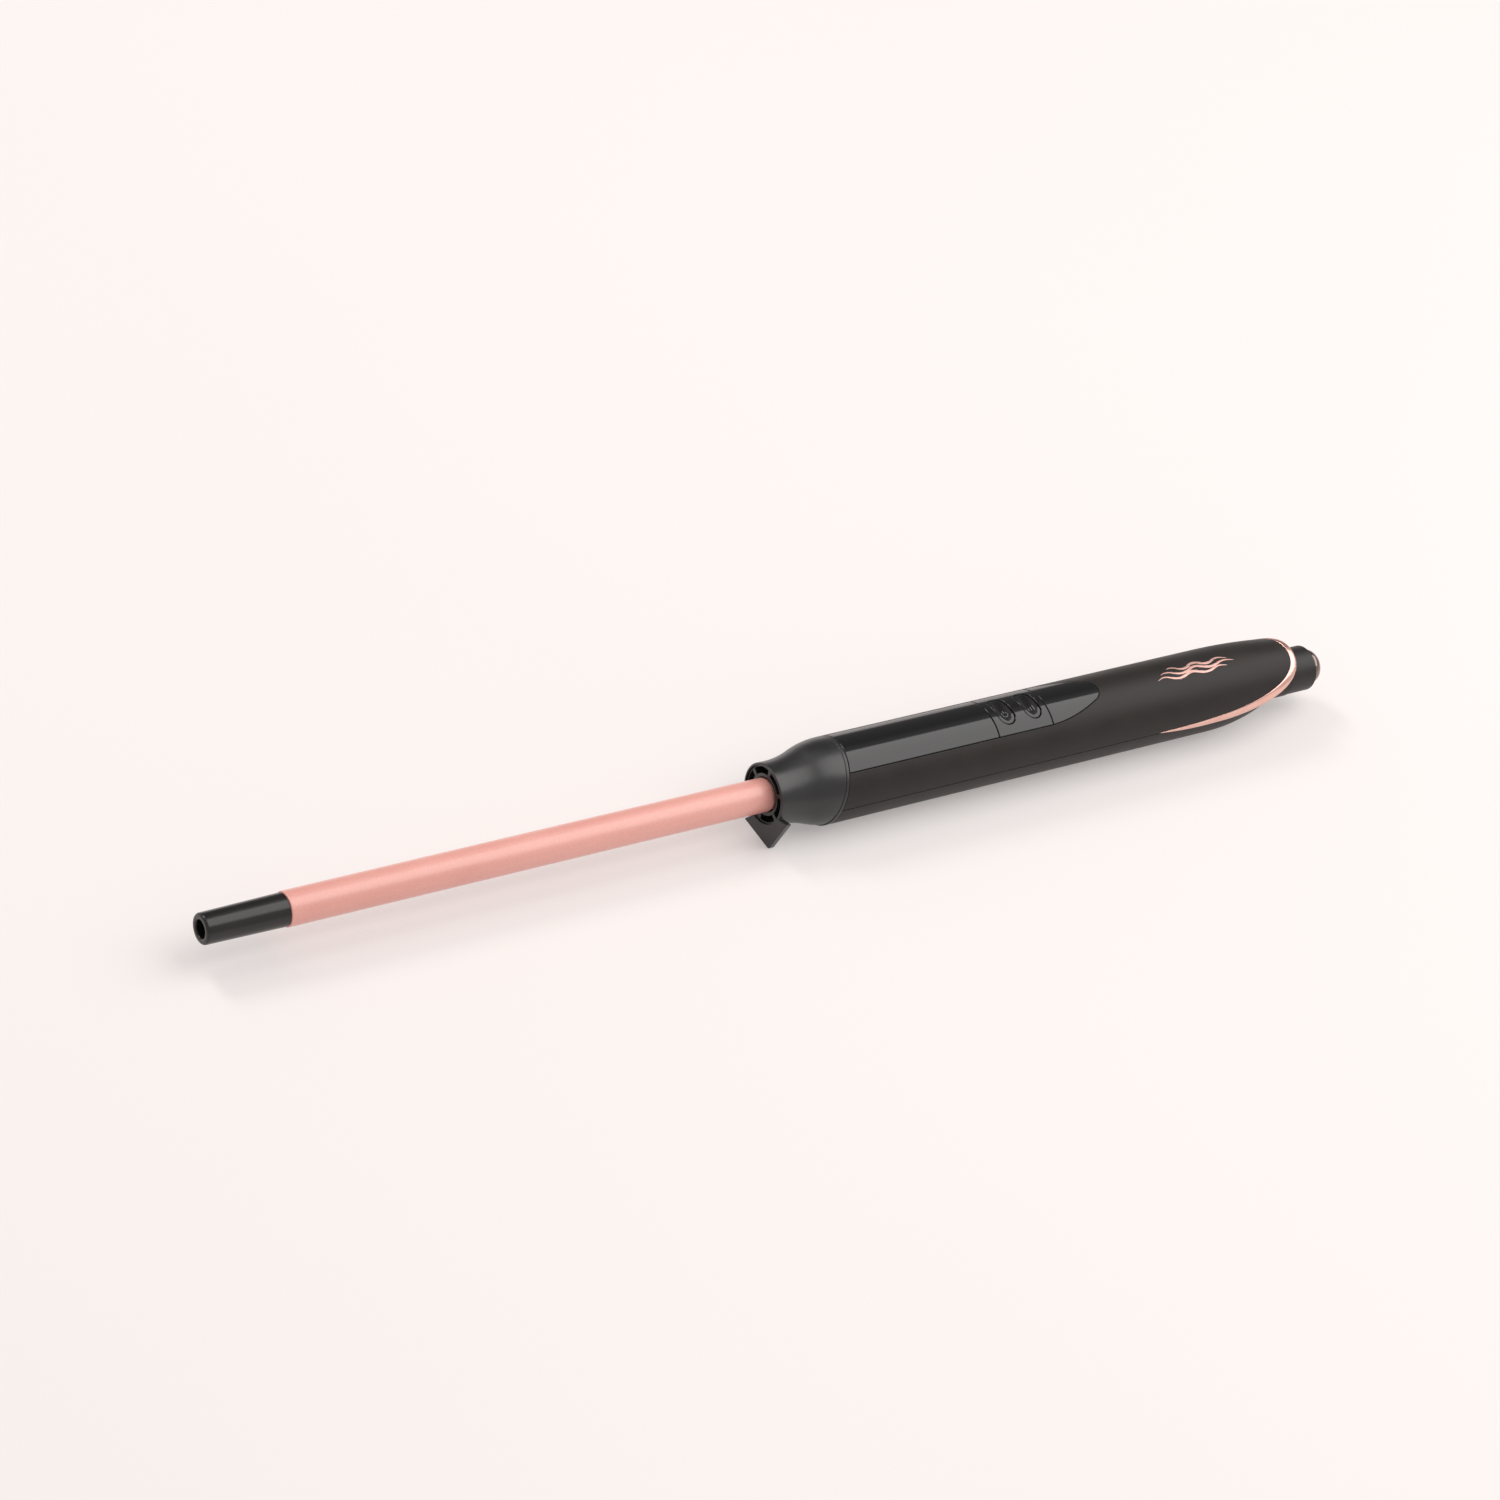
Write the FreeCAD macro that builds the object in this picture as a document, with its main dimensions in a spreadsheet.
import FreeCAD, Part
import math
import os
import re

import Sketcher
from FreeCAD import Placement, Rotation, Vector

# A slim curling wand at rest on a table, as it lies between curls. Its axis is level and runs
# along X, from the cool tip to the cord swivel, with the buttons on top. The round belly of
# the handle and one straight edge of the three-cornered foot touch the table. Every sub-part
# is drawn about the wand's own axis, with X counted from the tip's end face, and its
# Placement then moves it to the object's frame: the origin is on the table, below the middle.

# ---------------------------------------------------------------- driving dimensions
HANDLE_R = 12.7          # outside radius of the handle, which also rests on the table
WAND_LENGTH = 392.0
FOOT_HALF_ANGLE = 53.0   # half of the angle at the foot's point
FOOT_TURN = 90.0 - FOOT_HALF_ANGLE   # turns the collar until one edge of its foot is level
PARTING_X = 202.6        # where the slanted parting line crosses the axis
PARTING_LEAN = 12.0
NECK_R = 9.35            # waist of the collar
NECK_X = 184.0
SHOULDER_X = 203.2
RING_WIDTH = 1.1
RING_TO_SHELL = 0.1      # gap that shows as a dark line behind the ring
VENT_SLOTS = 6
WALL = 1.6               # of the handle and of the foot
FRAME_REACH = 16.0       # half height of the cutting outlines, more than any radius
PANEL_HALF_WIDTH = 7.92
PANEL_TAPER_X = 277.0    # where the panel's straight sides end
PANEL_NOSE_R = 4.2
PANEL_NOSE_X = 295.2
PANEL_GAP = 0.2          # between the strip and its recess, all round
BELLY_END_X = 344.0      # where the underside starts to rise to the tail
TAIL_CURVE_R = 70.0
TAIL_X = 370.0
COWL_X = 346.0           # where the top starts to fall to the rear end
COWL_END_X = 376.5
COWL_CURVE_R = 250.0
TRIM_PROUD = 0.12        # the trim band stands this far out of the handle
SWIVEL_DROP = 0.7        # the tail sleeve and swivel sit this far below the handle's axis

# Worked out from the above.
S_HALF_RUN = (SHOULDER_X - NECK_X) / 2
S_HALF_RISE = (HANDLE_R - NECK_R) / 2
S_CURVE_R = (S_HALF_RUN**2 + S_HALF_RISE**2) / (2 * S_HALF_RISE)
LEAN_REACH = FRAME_REACH * math.tan(math.radians(PARTING_LEAN))
NOSE_RUN = PANEL_NOSE_X - PANEL_TAPER_X
PANEL_FLANK_R = (NOSE_RUN**2 + PANEL_HALF_WIDTH**2 - PANEL_NOSE_R**2) / (
    2 * (PANEL_HALF_WIDTH - PANEL_NOSE_R))
FLANK_TO_NOSE = PANEL_FLANK_R - PANEL_NOSE_R
TOUCH_ACROSS = (PANEL_FLANK_R - PANEL_HALF_WIDTH) / FLANK_TO_NOSE
TOUCH_ALONG = NOSE_RUN / FLANK_TO_NOSE
TAIL_R = HANDLE_R - TAIL_CURVE_R + math.sqrt(TAIL_CURVE_R**2 - (TAIL_X - BELLY_END_X)**2)
COWL_END_R = HANDLE_R - COWL_CURVE_R + math.sqrt(COWL_CURVE_R**2 - (COWL_END_X - COWL_X)**2)
FOOT_POINT_R = HANDLE_R / math.sin(math.radians(FOOT_HALF_ANGLE))
FOOT_EDGE = 13.2         # length of each straight edge of the foot
FOOT_CORNER_Y = FOOT_EDGE * math.sin(math.radians(FOOT_HALF_ANGLE))
FOOT_CORNER_Z = FOOT_POINT_R - FOOT_EDGE * math.cos(math.radians(FOOT_HALF_ANGLE))

SIZES = {
    # placement
    "half_length": WAND_LENGTH / 2, "handle_r": HANDLE_R,
    "swivel_height": HANDLE_R - SWIVEL_DROP,
    # cool tip and barrel
    "tip_end_r": 4.4, "tip_joint_r": 4.7, "tip_joint_x": 24.8, "tip_hole_r": 2.6,
    "tip_hole_x": 20.0, "tip_spigot_x": 33.0, "barrel_r": 5.0, "barrel_in_r": 4.2,
    "barrel_x": 25.0, "barrel_seat_x": 181.4, "barrel_seat_r": 4.6, "barrel_end_x": 199.0,
    "tip_round": 0.8, "tip_hole_round": 0.5, "barrel_round": 0.3,
    # heater
    "heater_x": 36.0, "heater_end_x": 188.0, "heater_r": 1.8,
    "spreader_x": 40.0, "spreader_end_x": 180.0, "spreader_slot_depth": 1.5,
    "slot_x": 96.0, "slot_end_x": 112.0, "sensor_r": 0.6, "sensor_x": 98.0,
    "sensor_length": 12.0, "sensor_z": 3.4,
    # collar
    "rim_x": 180.9, "rim_edge_x": 181.3, "rim_face_r": 9.0, "rim_r": 9.4, "rim_round": 0.4,
    "neck_x": NECK_X, "neck_r": NECK_R, "s_curve_r": S_CURVE_R,
    "s_middle_x": NECK_X + S_HALF_RUN, "s_middle_r": NECK_R + S_HALF_RISE,
    "shoulder_x": SHOULDER_X, "collar_stock_x": 208.0,
    "vent_seat_r": 8.7, "vent_seat_x": 183.3, "collar_in_r": 8.1, "collar_in_x": 189.0,
    "collar_wide_r": 9.2,
    "spigot_r": 11.0, "spigot_x": 198.5, "spigot_end_x": 214.0,
    "foot_point_r": FOOT_POINT_R, "foot_corner_y": FOOT_CORNER_Y, "foot_corner_z": FOOT_CORNER_Z,
    "foot_root_z": 6.5, "foot_root_y": 6.2, "foot_thickness": WALL, "foot_point_round": 0.9,
    # parting line: a plane that leans tailwards at the top of the collar
    "parting_low_x": PARTING_X - LEAN_REACH, "parting_high_x": PARTING_X + LEAN_REACH,
    "ring_low_x": PARTING_X - LEAN_REACH - RING_WIDTH,
    "ring_high_x": PARTING_X + LEAN_REACH - RING_WIDTH,
    "shell_low_x": PARTING_X - LEAN_REACH + RING_TO_SHELL,
    "shell_high_x": PARTING_X + LEAN_REACH + RING_TO_SHELL,
    "frame_reach": FRAME_REACH, "stock_near_x": 190.0, "stock_far_x": 216.0,
    # vent ring
    "vent_x": 181.5, "vent_end_x": 183.3, "vent_r": 8.7, "vent_hole_r": 5.2,
    "slot_in_r": 6.3, "slot_out_r": 8.2, "slot_angle": 50.0, "vent_round": 0.15,
    # barrel holder
    "holder_x": 189.0, "holder_step_x": 201.0, "holder_end_x": 204.0, "holder_r": 8.1,
    "holder_flange_r": 9.2,
    # shells
    "shell_in_r": HANDLE_R - WALL, "shell_x": 196.0, "belly_end_x": BELLY_END_X,
    "tail_curve_r": TAIL_CURVE_R, "tail_x": TAIL_X, "tail_r": TAIL_R, "tail_end_x": 377.4,
    "tail_in_x": 366.0, "tail_in_r": 6.7, "cowl_x": COWL_X, "cowl_end_x": COWL_END_X,
    "cowl_curve_r": COWL_CURVE_R, "cowl_end_r": COWL_END_R, "cowl_in_r": COWL_END_R - WALL,
    "panel_floor": 9.0, "seam_gap": 0.28, "seam_depth_r": 11.8, "seam_end_x": 319.6,
    # trim band, cut out sideways by two ellipses
    "band_height": 12.3, "inner_x": 320.5, "inner_a": 55.0, "inner_b": 12.3,
    "outer_x": 339.0, "outer_a": 38.6, "outer_b": 14.15, "cutter_length": 60.0,
    "trim_x": 316.0, "trim_end_x": 378.0, "trim_proud_r": HANDLE_R + TRIM_PROUD,
    "trim_end_r": COWL_END_R - 0.1, "trim_in_r": HANDLE_R - WALL, "trim_tail_r": 7.4,
    # gloss strip on top
    "strip_x": 198.0, "strip_rise": 5.0, "taper_x": PANEL_TAPER_X,
    "stock_end_x": 305.0, "front_split_x": 258.0, "rear_split_x": 278.3, "split_gap": 0.24,
    "crown_r": 20.0, "crown_reach": 6.0,
    # buttons
    "power_x": 263.4, "temperature_x": 273.2, "button_half": 2.75, "button_straight": 2.3,
    "hole_half": 3.0, "button_top_r": 12.45, "button_bottom": 9.1, "button_flange": 8.3,
    "flange_half": 3.45, "flange_straight": 2.3, "stem_r": 1.4, "stem_bottom": 7.4,
    "dish_r": 6.5, "dish_ring_r": 32.0, "dish_drop": 13.45, "button_round": 0.2,
    # rounding of the outer edges
    "parting_round": 0.2, "strip_round": 0.22,
    # tail sleeve and swivel, drawn about the swivel's own axis
    "sleeve_x": 361.0, "sleeve_flange_x": 364.0, "sleeve_flange_r": 6.2, "sleeve_in_r": 5.6,
    "sleeve_step_x": 377.8, "sleeve_r": 7.05, "sleeve_edge_r": 6.55, "sleeve_edge_x": 387.5,
    "sleeve_end_x": 388.0, "bearing_r": 4.45, "journal_r": 4.4, "journal_x": 360.7,
    "keeper_x": 358.7, "keeper_r": 5.2, "hub_x": 346.0, "hub_r": 3.6, "dome_x": 388.3,
    "dome_r": 5.6, "dome_edge_x": 389.4, "dome_end_x": WAND_LENGTH, "dome_end_r": 3.9,
    "dome_curve_r": 3.4, "cord_r": 3.0, "cord_blind_x": 372.0,
    "ring_r": 4.4, "ring_one_x": 348.0, "ring_one_end_x": 351.0, "ring_two_x": 353.0,
    "ring_two_end_x": 356.0, "brush_gap": 4.7, "brush_out": 5.2, "brush_x": 347.5,
    "brush_length": 9.0, "brush_height": 2.4,
    # board
    "board_x": 236.0, "board_length": 66.0, "board_half": 7.5, "board_z": 3.4,
    "board_thickness": 1.6, "post_one_x": 256.5, "post_two_x": 297.0, "post_r": 2.2,
    "screw_r": 0.9, "screw_length": 6.0, "head_r": 1.8, "head_height": 1.1,
    "switch_half": 2.2, "switch_height": 1.3, "plunger_r": 0.9, "plunger_height": 0.5,
    "light_r": 0.9, "light_height": 1.4, "light_y": 5.6,
    "triac_x": 286.0, "triac_length": 4.0, "triac_width": 9.0, "triac_height": 3.2,
    "capacitor_x": 244.0, "capacitor_length": 10.0, "capacitor_width": 8.0,
    "capacitor_height": 4.4, "terminal_x": 243.0, "terminal_length": 8.0,
    "terminal_width": 7.0, "terminal_height": 5.2,
    "lead_r": 0.65, "lead_y": 1.0, "heater_lead_length": 55.0, "fuse_x": 214.0, "fuse_length": 11.0,
    "fuse_r": 2.0, "fuse_y": 4.4, "supply_lead_x": 302.0, "supply_lead_length": 45.5,
    "supply_lead_y": 4.95, "supply_lead_z": 0.6,
}

# The strip's outline, and the recess round it, which is larger by a fine gap.
for strip_name, grow in (("strip", 0.0), ("recess", PANEL_GAP)):
    nose_r = PANEL_NOSE_R + grow
    SIZES[strip_name + "_half"] = PANEL_HALF_WIDTH + grow
    SIZES[strip_name + "_flank_r"] = PANEL_FLANK_R + grow
    SIZES[strip_name + "_nose_r"] = nose_r
    SIZES[strip_name + "_touch_x"] = PANEL_NOSE_X + nose_r * TOUCH_ALONG
    SIZES[strip_name + "_touch_y"] = nose_r * TOUCH_ACROSS

doc = FreeCAD.newDocument("CurlingWand")
sheet = doc.addObject("Spreadsheet::Sheet", "Sizes")
for row, (size_name, size) in enumerate(SIZES.items(), start=1):
    sheet.set(f"A{row}", size_name)
    sheet.set(f"B{row}", f"{size:.6f}")
    sheet.setAlias(f"B{row}", size_name)
doc.recompute()

ZERO = "zero"     # stands for a corner on the sketch's own axis
EDGE_SAMPLES = 7  # points at which an edge is compared with a surface
sub_parts = {}


# ---------------------------------------------------------------- helpers
def number(name):
    """The value of a size name; a leading minus turns its sign."""
    if name == ZERO:
        return 0.0
    if name.startswith("-"):
        return -SIZES[name[1:]]
    return SIZES[name]


def cell(formula):
    """The same size names as an expression on the sheet."""
    return re.sub(r"[a-z_]+", lambda word: "Sizes." + word.group(0), formula)


def bind(item, **formulas):
    """Bind properties to the sheet; double underscores in a keyword stand for dots."""
    for path, formula in formulas.items():
        item.setExpression(path.replace("__", "."), cell(formula))


def place(item, label, shift="0", height="handle_r", turn=0.0):
    """Move a finished sub-part from the wand's own axis to the object's frame."""
    item.Label = label
    item.Placement = Placement(Vector(0, 0, 0), Rotation(Vector(1, 0, 0), turn))
    bind(item, Placement__Base__x=shift + " - half_length", Placement__Base__z=height)
    sub_parts[label] = item


def new_body(name):
    return doc.addObject("PartDesign::Body", name)


def new_sketch(body, plane, name, offset=None, turn=0.0):
    """An empty sketch on one of the body's own planes, moved along its normal by offset."""
    sketch = body.newObject("Sketcher::SketchObject", name)
    support = [item for item in body.Origin.OriginFeatures if item.Role == plane + "_Plane"]
    sketch.AttachmentSupport = [(support[0], "")]
    sketch.MapMode = "FlatFace"
    sketch.AttachmentOffset = Placement(Vector(0, 0, 0), Rotation(Vector(1, 0, 0), turn))
    if offset:
        bind(sketch, AttachmentOffset__Base__z=offset)
    return sketch


def pin(sketch, geometry, point, direction, name):
    """Fix one coordinate of a sketch point to a size."""
    if name == ZERO:
        axis = -2 if direction == "X" else -1
        sketch.addConstraint(Sketcher.Constraint("PointOnObject", geometry, point, axis))
        return
    rule = Sketcher.Constraint("Distance" + direction, -1, 1, geometry, point, number(name))
    index = sketch.addConstraint(rule)
    sketch.setExpression(f"Constraints[{index}]", cell(name))


def fix_radius(sketch, geometry, name):
    index = sketch.addConstraint(Sketcher.Constraint("Radius", geometry, number(name)))
    sketch.setExpression(f"Constraints[{index}]", cell(name))


def short_arc(start, end, radius):
    """The short arc between two points; it turns left for a positive radius."""
    chord = end - start
    left = Vector(-chord.y, chord.x, 0).normalize()
    side = math.copysign(1.0, radius)
    reach = math.sqrt(radius**2 - (chord.Length / 2)**2)
    centre = (start + end) * 0.5 + left * (side * reach)
    return Part.Arc(start, centre - left * (side * abs(radius)), end)


def add_loop(sketch, corners):
    """A closed loop of (across, up) corners; a third name makes the next side an arc."""
    points = [Vector(number(corner[0]), number(corner[1]), 0) for corner in corners]
    first = len(sketch.Geometry)
    for index, corner in enumerate(corners):
        start, end = points[index], points[(index + 1) % len(points)]
        if len(corner) == 3:
            sketch.addGeometry(short_arc(start, end, number(corner[2])), False)
        else:
            sketch.addGeometry(Part.LineSegment(start, end), False)
    for index, corner in enumerate(corners):
        side = first + index
        before = first + (index - 1) % len(corners)
        here = 1 if sketch.getPoint(side, 1).isEqual(points[index], 1e-6) else 2
        there = 2 if sketch.getPoint(before, 2).isEqual(points[index], 1e-6) else 1
        sketch.addConstraint(Sketcher.Constraint("Coincident", before, there, side, here))
        pin(sketch, side, here, "X", corner[0])
        pin(sketch, side, here, "Y", corner[1])
        if len(corner) == 3:
            fix_radius(sketch, side, corner[2].lstrip("-"))


def add_circle(sketch, across, up, radius):
    centre = Vector(number(across), number(up), 0)
    index = sketch.addGeometry(Part.Circle(centre, Vector(0, 0, 1), number(radius)), False)
    pin(sketch, index, 3, "X", across)
    pin(sketch, index, 3, "Y", up)
    fix_radius(sketch, index, radius)


def add_pill(sketch, radius, straight):
    """A slot outline round the origin, with its long way up the sketch."""
    half_width, half_straight = number(radius), number(straight)
    top = Part.Circle(Vector(0, half_straight, 0), Vector(0, 0, 1), half_width)
    bottom = Part.Circle(Vector(0, -half_straight, 0), Vector(0, 0, 1), half_width)
    sketch.addGeometry(Part.ArcOfCircle(top, 0, math.pi), False)
    sketch.addGeometry(Part.ArcOfCircle(bottom, math.pi, 2 * math.pi), False)
    for side in (-half_width, half_width):
        low, high = Vector(side, -half_straight, 0), Vector(side, half_straight, 0)
        sketch.addGeometry(Part.LineSegment(low, high), False)
    for arc, ends in ((0, (2, 1)), (1, (1, 2))):
        for line, end in zip((2, 3), ends):
            line_end = 2 if arc == 0 else 1
            sketch.addConstraint(Sketcher.Constraint("Tangent", arc, end, line, line_end))
        fix_radius(sketch, arc, radius)
        pin(sketch, arc, 3, "X", ZERO)
    pin(sketch, 0, 3, "Y", straight)
    pin(sketch, 1, 3, "Y", "-" + straight)


def revolve(body, sketch, kind="Revolution", angle=360.0):
    """Turn a sketch about the wand's axis, half the angle each way from its plane."""
    turned = body.newObject("PartDesign::" + kind, sketch.Name + kind)
    turned.Profile = sketch
    turned.ReferenceAxis = (sketch, ["H_Axis"])
    turned.Angle = angle
    turned.Midplane = angle < 360.0
    doc.recompute()
    return turned


def pad(body, sketch, length):
    raised = body.newObject("PartDesign::Pad", sketch.Name + "Pad")
    raised.Profile = sketch
    bind(raised, Length=length)
    doc.recompute()
    return raised


def cut_through(body, sketch):
    """Cut everything inside the sketch's outline, both ways from its plane."""
    volume = body.Shape.Volume
    pocket = body.newObject("PartDesign::Pocket", sketch.Name + "Pocket")
    pocket.Profile = sketch
    pocket.SideType = "Symmetric"
    bind(pocket, Length="cutter_length * 2")
    doc.recompute()
    assert body.Shape.Volume < volume - 1e-3, sketch.Name + " cuts nothing"
    return pocket


def groove(body, sketch, angle=360.0):
    volume = body.Shape.Volume
    cut = revolve(body, sketch, "Groove", angle)
    assert body.Shape.Volume < volume - 1e-3, sketch.Name + " cuts nothing"
    return cut


def turned_body(name, corners):
    """A body of one closed profile turned about the wand's axis."""
    body = new_body(name)
    sketch = new_sketch(body, "XZ", name + "Profile")
    add_loop(sketch, corners)
    revolve(body, sketch)
    return body


def tube(low_x, high_x, in_r, out_r):
    return [(low_x, in_r), (high_x, in_r), (high_x, out_r), (low_x, out_r)]


def drum(low_x, high_x, out_r):
    return tube(low_x, high_x, ZERO, out_r)


def round_edges(body, radius, wanted):
    """Round the edges of the body's tip that the test picks."""
    tip = body.Tip
    names = [f"Edge{i}" for i, edge in enumerate(tip.Shape.Edges, start=1) if wanted(edge)]
    assert names, body.Name + " has no such edge"
    fillet = body.newObject("PartDesign::Fillet", body.Name + radius.replace("_", ""))
    fillet.Base = (tip, names)
    bind(fillet, Radius=radius)
    doc.recompute()
    return fillet


def is_ring(edge, x, radius):
    """Whether an edge is a full circle at that station and radius."""
    curve = edge.Curve
    if not isinstance(curve, Part.Circle):
        return False
    return abs(curve.Center.x - x) < 1e-3 and abs(curve.Radius - radius) < 1e-3


def lean_cut(body, low, high, far, turn=0.0):
    """Cut the body away from the leaning plane between low and high to the far station."""
    sketch = new_sketch(body, "XZ", body.Name + "Lean" + far.replace("_", ""), turn=turn)
    add_loop(sketch, [
        (low, "-frame_reach"), (high, "frame_reach"), (far, "frame_reach"),
        (far, "-frame_reach")])
    cut_through(body, sketch)


def on_surface(edge, radius):
    """Whether an edge lies on the round outside of that radius."""
    return all(abs(math.hypot(point.y, point.z) - radius) < 1e-3
               for point in edge.discretize(EDGE_SAMPLES))


def round_outside(name, solid, radius):
    """Round the edges of a finished piece that lie on the handle's outside."""
    rounded = doc.addObject("Part::Fillet", name)
    rounded.Base = solid
    size = number(radius)
    rounded.Edges = [
        (index, size, size) for index, edge in enumerate(solid.Shape.Edges, start=1)
        if on_surface(edge, HANDLE_R)]
    doc.recompute()
    return rounded


def cylinder_solid(name, x, radius, length, y="0", z="0", upright=False):
    """A round bar along X, or upright, by its low end."""
    bar = doc.addObject("Part::Cylinder", name)
    turn = Rotation() if upright else Rotation(Vector(0, 1, 0), 90)
    bar.Placement = Placement(Vector(0, 0, 0), turn)
    bind(bar, Radius=radius, Height=length, Placement__Base__x=x, Placement__Base__y=y,
         Placement__Base__z=z)
    return bar


def box_solid(name, x, y, z, length, width, height):
    """A block by its lowest corner."""
    block = doc.addObject("Part::Box", name)
    bind(block, Length=length, Width=width, Height=height, Placement__Base__x=x,
         Placement__Base__y=y, Placement__Base__z=z)
    return block


def group(name, solids):
    """One node of several separate or joined solids."""
    joined = doc.addObject("Part::MultiFuse", name)
    joined.Shapes = solids
    doc.recompute()
    return joined


def single(name, solid):
    """One solid with a placement of its own outside the solid's."""
    holder = doc.addObject("Part::Compound", name)
    holder.Links = [solid]
    doc.recompute()
    return holder


def cut(name, base, tool):
    remainder = doc.addObject("Part::Cut", name)
    remainder.Base = base
    remainder.Tool = tool
    doc.recompute()
    return remainder


def common(name, base, tool):
    shared = doc.addObject("Part::Common", name)
    shared.Base = base
    shared.Tool = tool
    doc.recompute()
    return shared


# ---------------------------------------------------------------- tip, barrel and heater
def make_cool_tip():
    body = turned_body("CoolTip", [
        ("tip_hole_x", ZERO), ("tip_spigot_x", ZERO), ("tip_spigot_x", "barrel_in_r"),
        ("tip_joint_x", "barrel_in_r"), ("tip_joint_x", "tip_joint_r"), (ZERO, "tip_end_r"),
        (ZERO, "tip_hole_r"), ("tip_hole_x", "tip_hole_r")])
    round_edges(body, "tip_round", lambda edge: is_ring(edge, 0, SIZES["tip_end_r"]))
    round_edges(body, "tip_hole_round", lambda edge: is_ring(edge, 0, SIZES["tip_hole_r"]))
    place(body, "cool_tip")


def make_barrel():
    body = turned_body("Barrel", [
        ("barrel_x", "barrel_in_r"), ("barrel_end_x", "barrel_in_r"),
        ("barrel_end_x", "barrel_seat_r"), ("barrel_seat_x", "barrel_seat_r"),
        ("barrel_seat_x", "barrel_r"), ("barrel_x", "barrel_r")])
    round_edges(body, "barrel_round", lambda edge: any(
        is_ring(edge, SIZES[end], SIZES["barrel_r"]) for end in ("barrel_x", "barrel_seat_x")))
    place(body, "barrel")


def make_heater():
    place(turned_body("HeaterRod", drum("heater_x", "heater_end_x", "heater_r")), "heater_rod")
    spreader = turned_body(
        "HeatSpreader", tube("spreader_x", "spreader_end_x", "heater_r", "barrel_in_r"))
    slot = box_solid("SensorSlot", "slot_x", "-spreader_slot_depth / 2",
                     "barrel_in_r - spreader_slot_depth", "slot_end_x - slot_x",
                     "spreader_slot_depth", "spreader_slot_depth * 2")
    place(cut("SlottedSpreader", spreader, slot), "heat_spreader")
    sensor = cylinder_solid("SensorBead", "sensor_x", "sensor_r", "sensor_length",
                            z="sensor_z")
    place(single("Sensor", sensor), "temperature_sensor")


# ---------------------------------------------------------------- collar
def is_leaning_rim(edge):
    """Whether an edge runs round the outside along the slanted parting line."""
    outside = all(math.hypot(point.y, point.z) > number("spigot_r") + RING_WIDTH
                  for point in edge.discretize(EDGE_SAMPLES))
    return outside and edge.BoundBox.XLength > RING_WIDTH


def make_front_collar():
    body = turned_body("FrontCollar", [
        ("rim_x", ZERO), ("collar_stock_x", ZERO), ("collar_stock_x", "handle_r"),
        ("shoulder_x", "handle_r", "s_curve_r"), ("s_middle_x", "s_middle_r", "-s_curve_r"),
        ("neck_x", "neck_r"), ("rim_edge_x", "rim_r", "rim_round"), ("rim_x", "rim_face_r")])
    foot = new_sketch(body, "YZ", "Foot", "rim_x")
    add_loop(foot, [
        (ZERO, "-foot_point_r"), ("foot_corner_y", "-foot_corner_z"),
        ("foot_root_y", "-foot_root_z"), ("-foot_root_y", "-foot_root_z"),
        ("-foot_corner_y", "-foot_corner_z")])
    pad(body, foot, "foot_thickness")
    point_z = -SIZES["foot_point_r"]
    round_edges(body, "foot_point_round", lambda edge: all(
        abs(corner.Z - point_z) < 1e-3 for corner in edge.Vertexes))
    lean_cut(body, "ring_low_x", "ring_high_x", "stock_far_x")
    spigot = new_sketch(body, "XZ", "Spigot")
    add_loop(spigot, [
        ("collar_in_x", ZERO), ("spigot_end_x", ZERO), ("spigot_end_x", "spigot_r"),
        ("spigot_x", "spigot_r"), ("spigot_x", "collar_in_r"), ("collar_in_x", "collar_in_r")])
    revolve(body, spigot)
    hollow = new_sketch(body, "XZ", "Hollow")
    add_loop(hollow, [
        ("rim_x", ZERO), ("spigot_end_x", ZERO), ("spigot_end_x", "collar_wide_r"),
        ("holder_step_x", "collar_wide_r"), ("holder_step_x", "collar_in_r"),
        ("vent_seat_x", "collar_in_r"), ("vent_seat_x", "vent_seat_r"), ("rim_x", "vent_seat_r")])
    groove(body, hollow)
    round_edges(body, "parting_round", is_leaning_rim)
    place(body, "front_collar", turn=-FOOT_TURN)


def make_collar_ring():
    body = turned_body(
        "CollarRing", tube("stock_near_x", "stock_far_x", "spigot_r", "handle_r"))
    lean_cut(body, "ring_low_x", "ring_high_x", "stock_near_x")
    lean_cut(body, "parting_low_x", "parting_high_x", "stock_far_x")
    round_edges(body, "parting_round", is_leaning_rim)
    place(body, "collar_ring", turn=-FOOT_TURN)


def make_vent_ring():
    body = turned_body("VentRing", tube("vent_x", "vent_end_x", "vent_hole_r", "vent_r"))
    slot = new_sketch(body, "XZ", "Slot")
    add_loop(slot, tube("barrel_seat_x", "collar_in_x", "slot_in_r", "slot_out_r"))
    opening = groove(body, slot, SIZES["slot_angle"])
    pattern = body.newObject("PartDesign::PolarPattern", "SlotPattern")
    pattern.Originals = [opening]
    pattern.Axis = (slot, ["H_Axis"])
    pattern.Angle = 360
    pattern.Occurrences = VENT_SLOTS
    body.Tip = pattern
    doc.recompute()
    round_edges(body, "vent_round", lambda edge: edge.BoundBox.XMax < number("vent_x") + 1e-3)
    place(body, "vent_ring", turn=-FOOT_TURN)


def make_barrel_holder():
    body = turned_body("BarrelHolder", [
        ("holder_x", "barrel_seat_r"), ("holder_end_x", "barrel_seat_r"),
        ("holder_end_x", "holder_flange_r"), ("holder_step_x", "holder_flange_r"),
        ("holder_step_x", "holder_r"), ("holder_x", "holder_r")])
    place(body, "barrel_holder")


# ---------------------------------------------------------------- handle
def cut_front(body):
    """Cut the front of a handle part along the parting plane, turned as the collar is."""
    lean_cut(body, "shell_low_x", "shell_high_x", "stock_near_x", turn=-FOOT_TURN)


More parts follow.
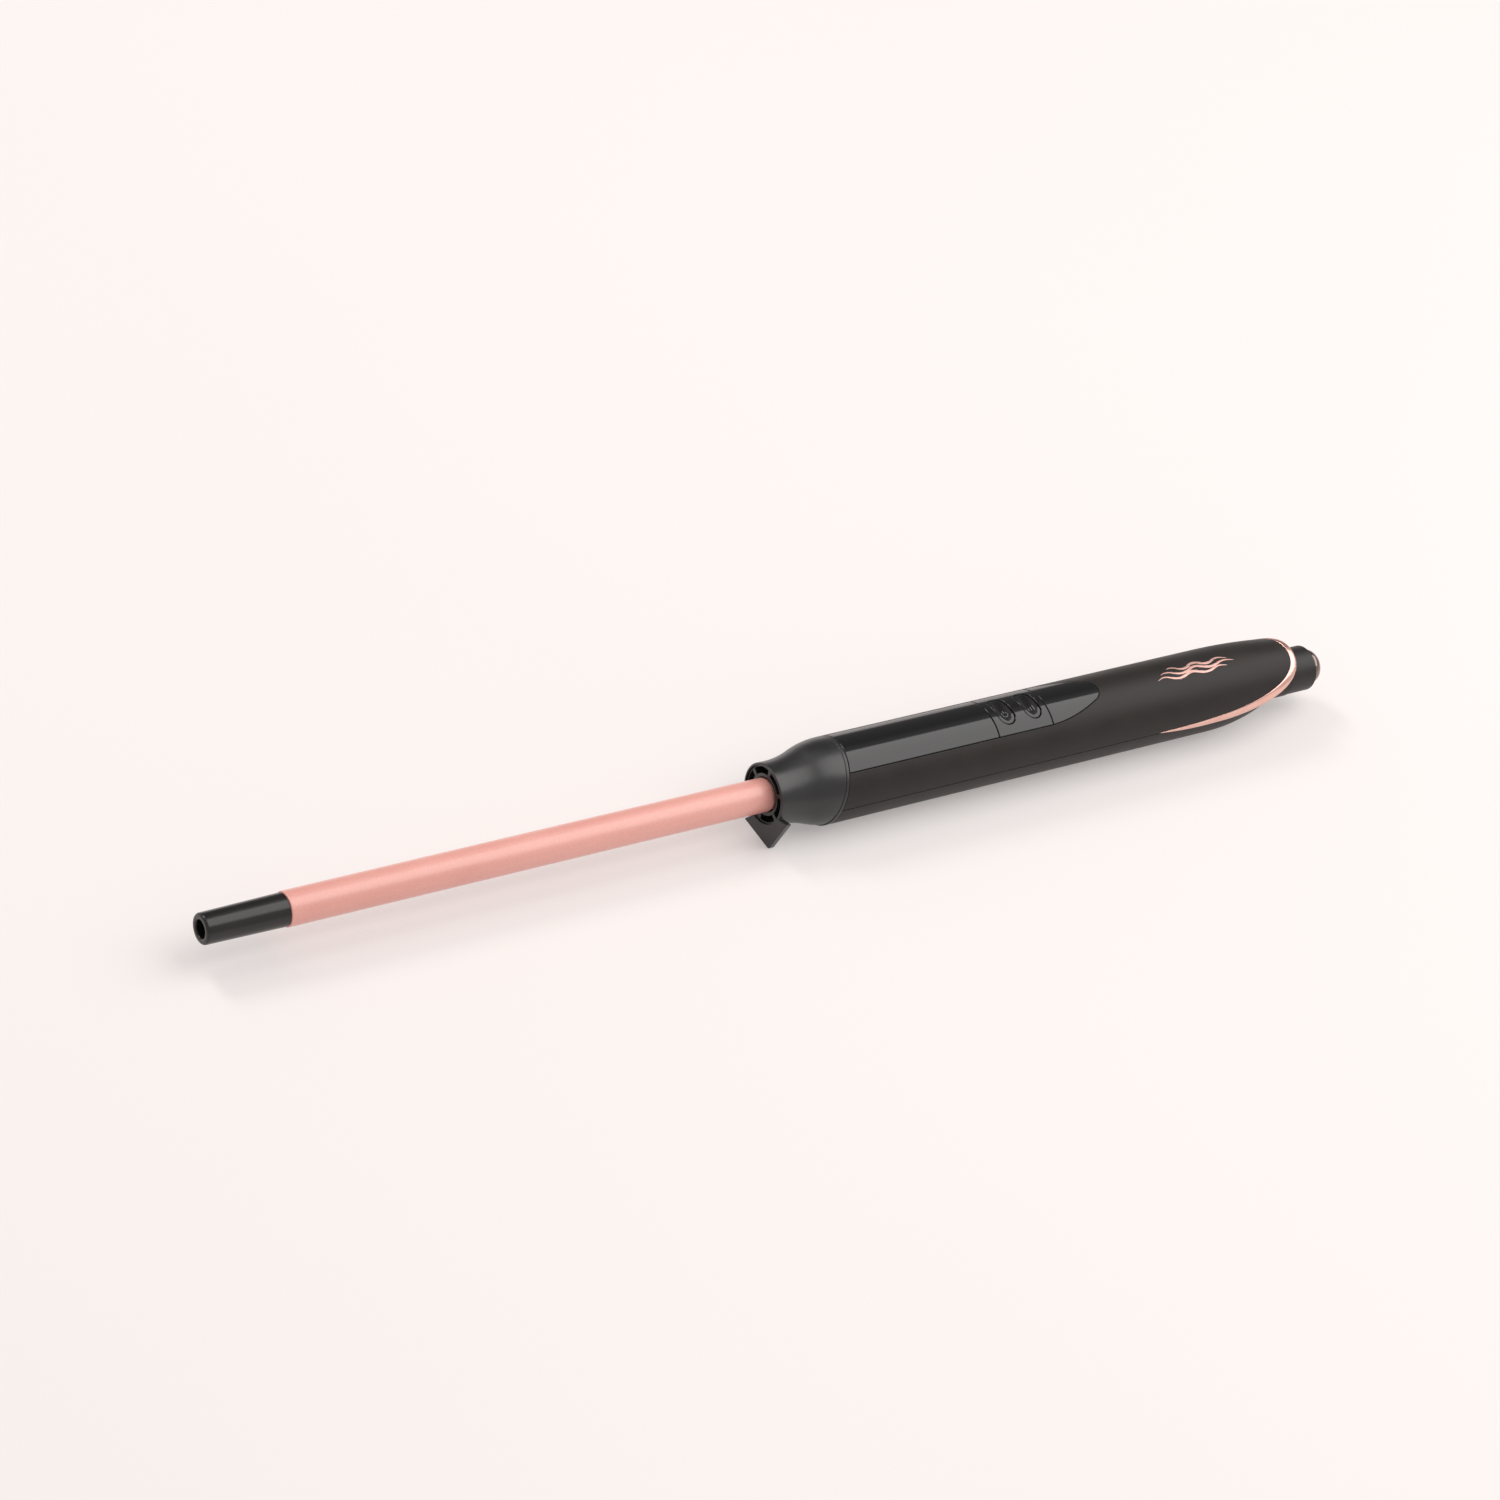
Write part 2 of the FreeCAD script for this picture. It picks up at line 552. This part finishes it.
def ellipse_bar(name, x, major, minor):
    """A long bar across the wand whose section is an ellipse."""
    rim = doc.addObject("Part::Ellipse", name + "Rim")
    rim.Placement = Placement(Vector(0, 0, 0), Rotation(Vector(1, 0, 0), 90))
    bind(rim, MajorRadius=major, MinorRadius=minor, Placement__Base__x=x,
         Placement__Base__z="band_height")
    bar = doc.addObject("Part::Extrusion", name)
    bar.Base = rim
    bar.DirMode = "Custom"
    bar.Dir = Vector(0, 1, 0)
    bar.Solid = True
    bar.Symmetric = True
    bind(bar, LengthFwd="cutter_length")
    doc.recompute()
    return bar


def region_above(name, x, major, minor):
    """All that lies above the seam or inside the ellipse that starts below it."""
    bar = ellipse_bar(name + "Bar", x, major, minor)
    block = box_solid(name + "Block", "0", "-cutter_length / 2", "0", x, "cutter_length",
                      "cutter_length")
    return group(name, [block, bar])


def strip_sketch(body, kind):
    """The outline of the gloss strip or its recess from above, with the rounded rear end."""
    sketch = new_sketch(body, "XY", kind.title() + "Outline", "panel_floor")
    add_loop(sketch, [
        ("strip_x", f"-{kind}_half"), ("taper_x", f"-{kind}_half", f"{kind}_flank_r"),
        (f"{kind}_touch_x", f"-{kind}_touch_y", f"{kind}_nose_r"),
        (f"{kind}_touch_x", f"{kind}_touch_y", f"{kind}_flank_r"),
        ("taper_x", f"{kind}_half"), ("strip_x", f"{kind}_half")])
    return sketch


def make_shells(above_inner, above_outer):
    upper = new_body("UpperTube")
    profile = new_sketch(upper, "XZ", "UpperProfile")
    add_loop(profile, [
        ("shell_x", "shell_in_r"), ("cowl_x", "shell_in_r"), ("cowl_end_x", "cowl_in_r"),
        ("cowl_end_x", "cowl_end_r", "cowl_curve_r"), ("cowl_x", "handle_r"),
        ("shell_x", "handle_r")])
    revolve(upper, profile, angle=180.0)
    cut_front(upper)
    recess = strip_sketch(upper, "recess")
    pocket = upper.newObject("PartDesign::Pocket", "RecessPocket")
    pocket.Profile = recess
    pocket.Reversed = True
    bind(pocket, Length="frame_reach")
    doc.recompute()
    half = common("UpperShell", upper, above_inner)
    place(half, "upper_shell")

    lower = turned_body("LowerTube", [
        ("shell_x", "shell_in_r"), ("belly_end_x", "shell_in_r"), ("tail_in_x", "tail_in_r"),
        ("tail_end_x", "tail_in_r"), ("tail_end_x", "tail_r"),
        ("tail_x", "tail_r", "tail_curve_r"), ("belly_end_x", "handle_r"),
        ("shell_x", "handle_r")])
    cut_front(lower)
    half = cut("LowerHalf", lower, above_outer)
    gap_length = "seam_end_x - stock_near_x"
    gap = box_solid("SeamGap", "stock_near_x", "-cutter_length / 2", "-seam_gap", gap_length,
                    "cutter_length", "seam_gap")
    core = cylinder_solid("SeamCore", "stock_near_x", "seam_depth_r", gap_length)
    half = cut("SeamedHalf", half, cut("SeamGroove", gap, core))
    posts = []
    for count, station in enumerate(("post_one_x", "post_two_x"), start=1):
        post = cylinder_solid(f"Post{count}", station, "post_r", "shell_in_r + board_z",
                              z="-shell_in_r", upright=True)
        hole = cylinder_solid(f"PostHole{count}", station, "screw_r", "frame_reach",
                              z="board_z + board_thickness - screw_length", upright=True)
        posts.append(cut(f"DrilledPost{count}", post, hole))
    place(group("LowerShell", [half] + posts), "lower_shell")


def make_trim_band(above_inner, above_outer):
    body = turned_body("TrimTube", [
        ("trim_x", "trim_in_r"), ("cowl_x", "trim_in_r"), ("trim_end_x", "trim_tail_r"),
        ("trim_end_x", "trim_end_r", "cowl_curve_r"), ("cowl_x", "trim_proud_r"),
        ("trim_x", "trim_proud_r")])
    strip = common("TrimBelow", body, above_outer)
    place(cut("TrimBand", strip, above_inner), "trim_band")


def crown_cut(body, radius):
    """Turn the top of a body down to a round crown about the wand's axis."""
    sketch = new_sketch(body, "XZ", body.Name + "Crown")
    add_loop(sketch, tube("-crown_reach", "crown_reach", radius, "crown_r"))
    groove(body, sketch)


def make_strip():
    """The gloss strip: three crowned pieces that drop into the recess of the upper shell."""
    plate = new_body("StripStock")
    pad(plate, strip_sketch(plate, "strip"), "strip_rise")
    crown = new_sketch(plate, "XZ", "StripCrown")
    add_loop(crown, tube("stock_near_x", "stock_end_x", "handle_r", "crown_r"))
    groove(plate, crown)
    inside = new_sketch(plate, "XZ", "StripInside")
    add_loop(inside, drum("stock_near_x", "stock_end_x", "shell_in_r"))
    groove(plate, inside)
    cut_front(plate)
    for name, low, length in (
            ("front_panel", "stock_near_x", "front_split_x - split_gap / 2 - stock_near_x"),
            ("control_panel", "front_split_x + split_gap / 2",
             "rear_split_x - front_split_x - split_gap"),
            ("rear_panel", "rear_split_x + split_gap / 2", "cutter_length")):
        window = box_solid(name.title().replace("_", "") + "Window", low, "-cutter_length / 2",
                           "0", length, "cutter_length", "cutter_length")
        piece = common(name.title().replace("_", "") + "Piece", plate, window)
        if name == "control_panel":
            holes = [button_hole(station) for station in ("power_x", "temperature_x")]
            piece = cut("ControlPanel", piece, group("ButtonHoles", holes))
        place(round_outside("Round" + piece.Name, piece, "strip_round"), name)


def button_hole(station):
    body = new_body("Hole" + station.split("_")[0].title())
    sketch = new_sketch(body, "XY", body.Name + "Outline")
    add_pill(sketch, "hole_half", "button_straight")
    pad(body, sketch, "cutter_length")
    bind(body, Placement__Base__x=station)
    return body


def is_cap_rim(edge):
    """Whether an edge of a button is the outline of its crowned top."""
    half, straight = number("button_half"), number("button_straight")
    outline = all(math.hypot(point.x, max(abs(point.y) - straight, 0.0)) > half - 1e-3
                  for point in edge.discretize(EDGE_SAMPLES))
    return outline and on_surface(edge, number("button_top_r"))


def make_button(name, station):
    """A pill-shaped key: dished cap, flange that keeps it in, and a stem over its switch."""
    title = name.title().replace("_", "")
    body = new_body(title)
    cap = new_sketch(body, "XY", title + "Cap", "button_bottom")
    add_pill(cap, "button_half", "button_straight")
    pad(body, cap, "strip_rise")
    crown_cut(body, "button_top_r")
    dish = new_sketch(body, "XZ", title + "Dish")
    bind(dish, AttachmentOffset__Base__y="-dish_drop")
    add_circle(dish, ZERO, "dish_ring_r", "dish_r")
    groove(body, dish)
    round_edges(body, "button_round", is_cap_rim)
    flange = new_sketch(body, "XY", title + "Flange", "button_flange")
    add_pill(flange, "flange_half", "flange_straight")
    pad(body, flange, "button_bottom - button_flange")
    stem = new_sketch(body, "XY", title + "Stem", "stem_bottom")
    add_circle(stem, ZERO, ZERO, "stem_r")
    pad(body, stem, "button_bottom - stem_bottom")
    place(body, name, shift=station)


# ---------------------------------------------------------------- tail
def make_tail():
    sleeve = turned_body("TailSleeve", [
        ("sleeve_x", "bearing_r"), ("sleeve_end_x", "bearing_r"),
        ("sleeve_end_x", "sleeve_edge_r"), ("sleeve_edge_x", "sleeve_r"),
        ("sleeve_step_x", "sleeve_r"), ("sleeve_step_x", "sleeve_in_r"),
        ("sleeve_flange_x", "sleeve_in_r"), ("sleeve_flange_x", "sleeve_flange_r"),
        ("sleeve_x", "sleeve_flange_r")])
    place(sleeve, "tail_sleeve", height="swivel_height")
    swivel = turned_body("CordSwivel", [
        ("hub_x", ZERO), ("cord_blind_x", ZERO), ("cord_blind_x", "cord_r"),
        ("dome_end_x", "cord_r"), ("dome_end_x", "dome_end_r", "dome_curve_r"),
        ("dome_edge_x", "dome_r"), ("dome_x", "dome_r"), ("dome_x", "journal_r"),
        ("journal_x", "journal_r"), ("journal_x", "keeper_r"), ("keeper_x", "keeper_r"),
        ("keeper_x", "hub_r"), ("hub_x", "hub_r")])
    place(swivel, "cord_swivel", height="swivel_height")
    rings = [turned_body("RingOne", tube("ring_one_x", "ring_one_end_x", "hub_r", "ring_r")),
             turned_body("RingTwo", tube("ring_two_x", "ring_two_end_x", "hub_r", "ring_r"))]
    place(group("SlipRings", rings), "slip_rings", height="swivel_height")
    brushes = [
        box_solid("BrushFar", "brush_x", "brush_gap", "-brush_height / 2", "brush_length",
                  "brush_out - brush_gap", "brush_height"),
        box_solid("BrushNear", "brush_x", "-brush_out", "-brush_height / 2", "brush_length",
                  "brush_out - brush_gap", "brush_height")]
    place(group("ContactBrushes", brushes), "contact_brushes", height="swivel_height")


# ---------------------------------------------------------------- electronics
def make_board():
    board = box_solid("Board", "board_x", "-board_half", "board_z", "board_length",
                      "board_half * 2", "board_thickness")
    holes = [cylinder_solid(f"BoardHole{count}", station, "screw_r", "frame_reach",
                            upright=True)
             for count, station in enumerate(("post_one_x", "post_two_x"), start=1)]
    place(cut("ControlBoard", board, group("BoardHoles", holes)), "control_board")

    top = "board_z + board_thickness"
    screws, switches, lights = [], [], []
    for count, station in enumerate(("post_one_x", "post_two_x"), start=1):
        screws.append(cylinder_solid(f"Shank{count}", station, "screw_r", "screw_length",
                                     z=top + " - screw_length", upright=True))
        screws.append(cylinder_solid(f"Head{count}", station, "head_r", "head_height", z=top,
                                     upright=True))
    for count, station in enumerate(("power_x", "temperature_x"), start=1):
        switches.append(box_solid(f"Switch{count}", station + " - switch_half", "-switch_half",
                                  top, "switch_half * 2", "switch_half * 2", "switch_height"))
        switches.append(cylinder_solid(f"Plunger{count}", station, "plunger_r",
                                       "plunger_height", z=top + " + switch_height",
                                       upright=True))
        lights.append(cylinder_solid(f"Light{count}", station, "light_r", "light_height",
                                     y="light_y", z=top, upright=True))
    place(group("BoardScrews", screws), "board_screws")
    place(group("TactSwitches", switches), "tact_switches")
    place(group("IndicatorLights", lights), "indicator_lights")

    components = [
        box_solid("Triac", "triac_x", "-triac_width / 2", top, "triac_length", "triac_width",
                  "triac_height"),
        box_solid("Capacitor", "capacitor_x", "-capacitor_width / 2", top,
                  "capacitor_length", "capacitor_width", "capacitor_height"),
        box_solid("Terminal", "terminal_x", "-terminal_width / 2",
                  "board_z - terminal_height", "terminal_length", "terminal_width",
                  "terminal_height")]
    place(group("BoardComponents", components), "board_components")


def make_leads():
    heater_leads = [
        cylinder_solid("HeaterLeadFar", "heater_end_x", "lead_r", "heater_lead_length",
                       y="lead_y"),
        cylinder_solid("HeaterLeadNear", "heater_end_x", "lead_r", "heater_lead_length",
                       y="-lead_y")]
    place(group("HeaterLeads", heater_leads), "heater_leads")
    supply_leads = [
        cylinder_solid("SupplyLeadFar", "supply_lead_x", "lead_r", "supply_lead_length",
                       y="supply_lead_y", z="supply_lead_z"),
        cylinder_solid("SupplyLeadNear", "supply_lead_x", "lead_r", "supply_lead_length",
                       y="-supply_lead_y", z="supply_lead_z")]
    place(group("SupplyLeads", supply_leads), "supply_leads")
    fuse = cylinder_solid("Fuse", "fuse_x", "fuse_r", "fuse_length", y="fuse_y")
    place(single("ThermalFuse", fuse), "thermal_fuse")


# ---------------------------------------------------------------- assembly
def check_and_export():
    """Stop on any failed object, then write each sub-part to its own file."""
    doc.recompute()
    failed = [item.Name for item in doc.Objects if {"Invalid", "Error"} & set(item.State)]
    assert not failed, f"failed objects: {failed}"
    os.makedirs("parts", exist_ok=True)
    for name, item in sub_parts.items():
        shape = item.Shape
        assert not shape.isNull() and shape.isValid(), name + " has a bad shape"
        assert shape.Solids, name + " has no solid"
        shape.exportStep(f"parts/{name}.step")
        print(f"{name:20s} solids {len(shape.Solids)}  volume {shape.Volume:9.2f}")


make_cool_tip()
make_barrel()
make_heater()
make_front_collar()
make_collar_ring()
make_vent_ring()
make_barrel_holder()
inner_region = region_above("AboveInner", "inner_x", "inner_a", "inner_b")
outer_region = region_above("AboveOuter", "outer_x", "outer_a", "outer_b")
make_shells(inner_region, outer_region)
make_trim_band(inner_region, outer_region)
make_strip()
make_button("power_button", "power_x")
make_button("temperature_button", "temperature_x")
make_tail()
make_board()
make_leads()
check_and_export()
